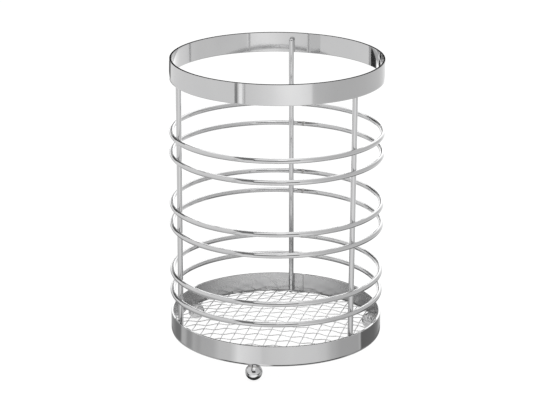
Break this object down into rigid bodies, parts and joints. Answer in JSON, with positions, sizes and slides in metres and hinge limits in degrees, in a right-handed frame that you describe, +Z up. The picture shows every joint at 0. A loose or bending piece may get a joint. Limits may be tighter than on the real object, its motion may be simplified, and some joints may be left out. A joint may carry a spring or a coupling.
{
  "type": "cutlery holder",
  "caption": "Round open wire holder for cutlery and kitchen tools: flat strip rim and base, paired wire hoops on uprights, crowned woven mesh floor, ball feet.",
  "frame": {"origin": "on the holder's axis, at the level that the ball feet stand on", "axes": "+Z up, from the feet to the rim; the camera of the picture looks along +Y"},
  "size_m": [0.121, 0.123, 0.1685],
  "materials": {
    "strip": "bright chrome plate on rolled strip",
    "hoop_wire": "bright chrome plate on drawn wire",
    "ball": "bright chrome plate on a polished ball",
    "mesh_wire": "bright plate on crimped wire"
  },
  "bodies": {
    "root": {"rim_band": "strip", "base_band": "strip", "hoop_wire_1": "hoop_wire", "hoop_wire_2": "hoop_wire", "hoop_wire_3": "hoop_wire", "hoop_wire_4": "hoop_wire", "hoop_wire_5": "hoop_wire", "hoop_wire_6": "hoop_wire", "upright_back": "hoop_wire", "upright_left": "hoop_wire", "upright_right": "hoop_wire", "foot_ball_front": "ball", "foot_ball_left": "ball", "foot_ball_right": "ball", "floor_warp_01": "mesh_wire", "floor_warp_02": "mesh_wire", "floor_warp_03": "mesh_wire", "floor_warp_04": "mesh_wire", "floor_warp_05": "mesh_wire", "floor_warp_06": "mesh_wire", "floor_warp_07": "mesh_wire", "floor_warp_08": "mesh_wire", "floor_warp_09": "mesh_wire", "floor_warp_10": "mesh_wire", "floor_warp_11": "mesh_wire", "floor_warp_12": "mesh_wire", "floor_warp_13": "mesh_wire", "floor_warp_14": "mesh_wire", "floor_warp_15": "mesh_wire", "floor_warp_16": "mesh_wire", "floor_warp_17": "mesh_wire", "floor_warp_18": "mesh_wire", "floor_weft_01": "mesh_wire", "floor_weft_02": "mesh_wire", "floor_weft_03": "mesh_wire", "floor_weft_04": "mesh_wire", "floor_weft_05": "mesh_wire", "floor_weft_06": "mesh_wire", "floor_weft_07": "mesh_wire", "floor_weft_08": "mesh_wire", "floor_weft_09": "mesh_wire", "floor_weft_10": "mesh_wire", "floor_weft_11": "mesh_wire", "floor_weft_12": "mesh_wire", "floor_weft_13": "mesh_wire", "floor_weft_14": "mesh_wire", "floor_weft_15": "mesh_wire", "floor_weft_16": "mesh_wire", "floor_weft_17": "mesh_wire"}
  },
  "joints": []
}
